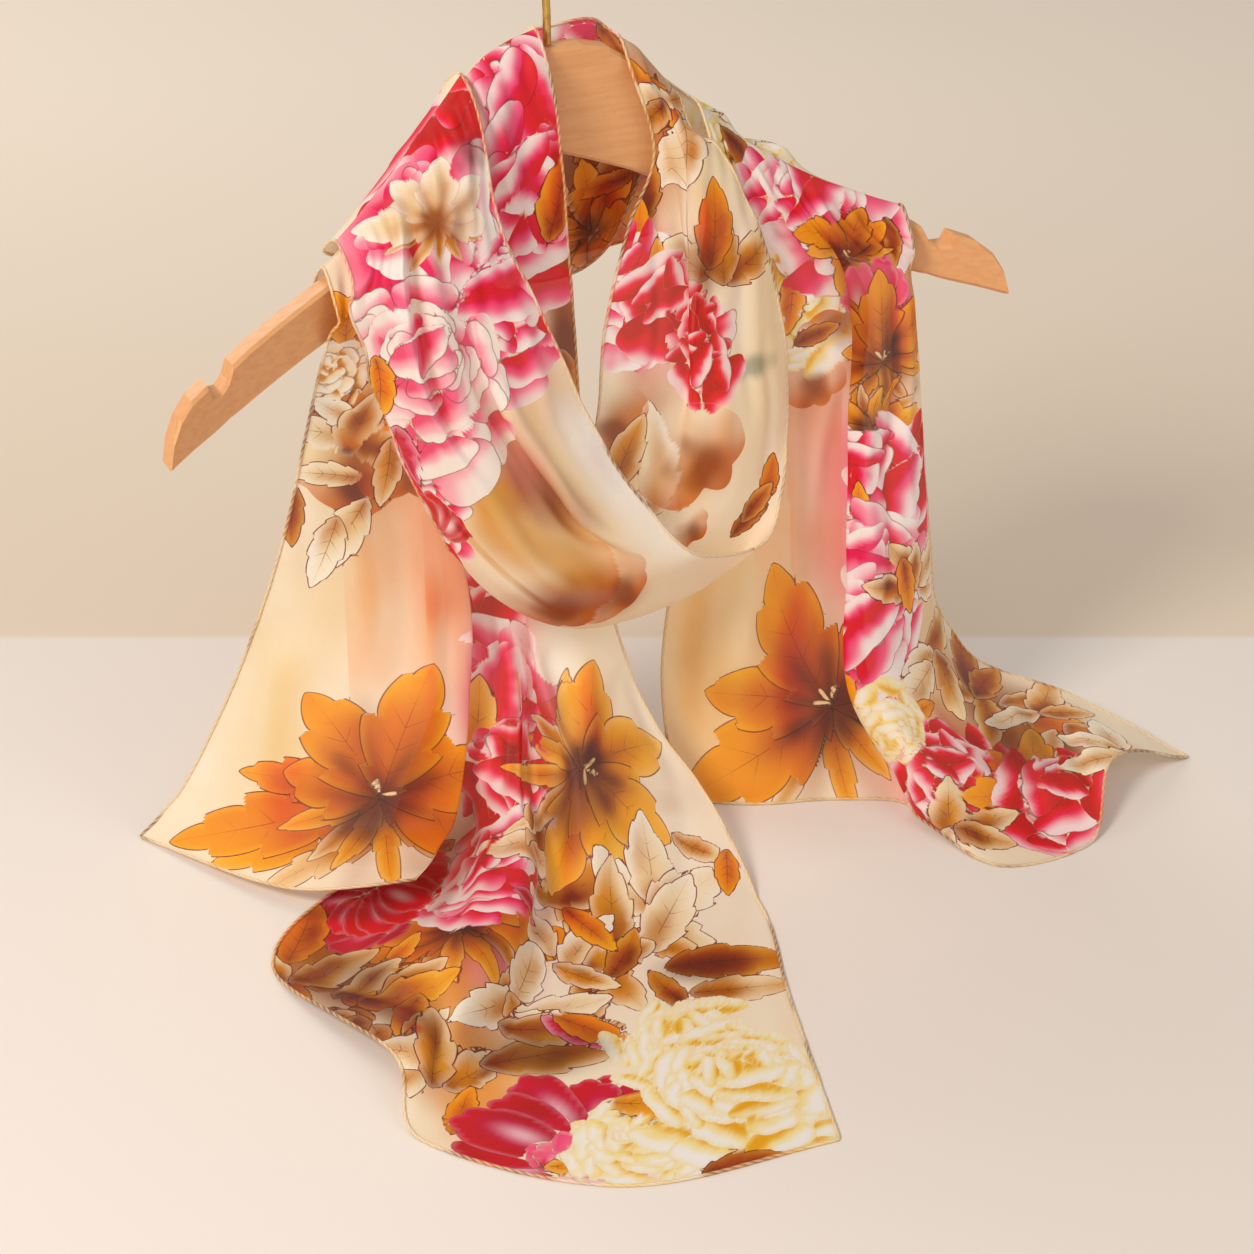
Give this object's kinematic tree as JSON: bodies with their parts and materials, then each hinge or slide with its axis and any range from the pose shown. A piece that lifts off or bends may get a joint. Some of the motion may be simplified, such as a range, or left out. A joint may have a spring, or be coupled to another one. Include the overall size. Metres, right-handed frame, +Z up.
{
  "type": "chiffon scarf on a clothes hanger",
  "caption": "Long floral silk chiffon scarf with rolled hems, wound as a loop over a wooden clothes hanger with a brass hook, both tails reaching the table.",
  "frame": {"origin": "inside top of the hook, where a rail carries the hanger", "axes": "+X along the hanger towards its right arm as seen from the front, -Y to the front, +Z up"},
  "size_m": [0.5337, 0.3752, 0.4922],
  "materials": {
    "beech": "clear satin lacquer on pale beech",
    "brass_wire": "polished wire",
    "silk_chiffon": "sheer printed silk chiffon"
  },
  "bodies": {
    "root": {"hanger_board": "beech", "hook": "brass_wire", "left_tail": "silk_chiffon", "back_swag_inner": "silk_chiffon", "loop_right": "silk_chiffon", "loop_left": "silk_chiffon", "back_swag_outer": "silk_chiffon", "right_tail": "silk_chiffon"}
  },
  "joints": []
}
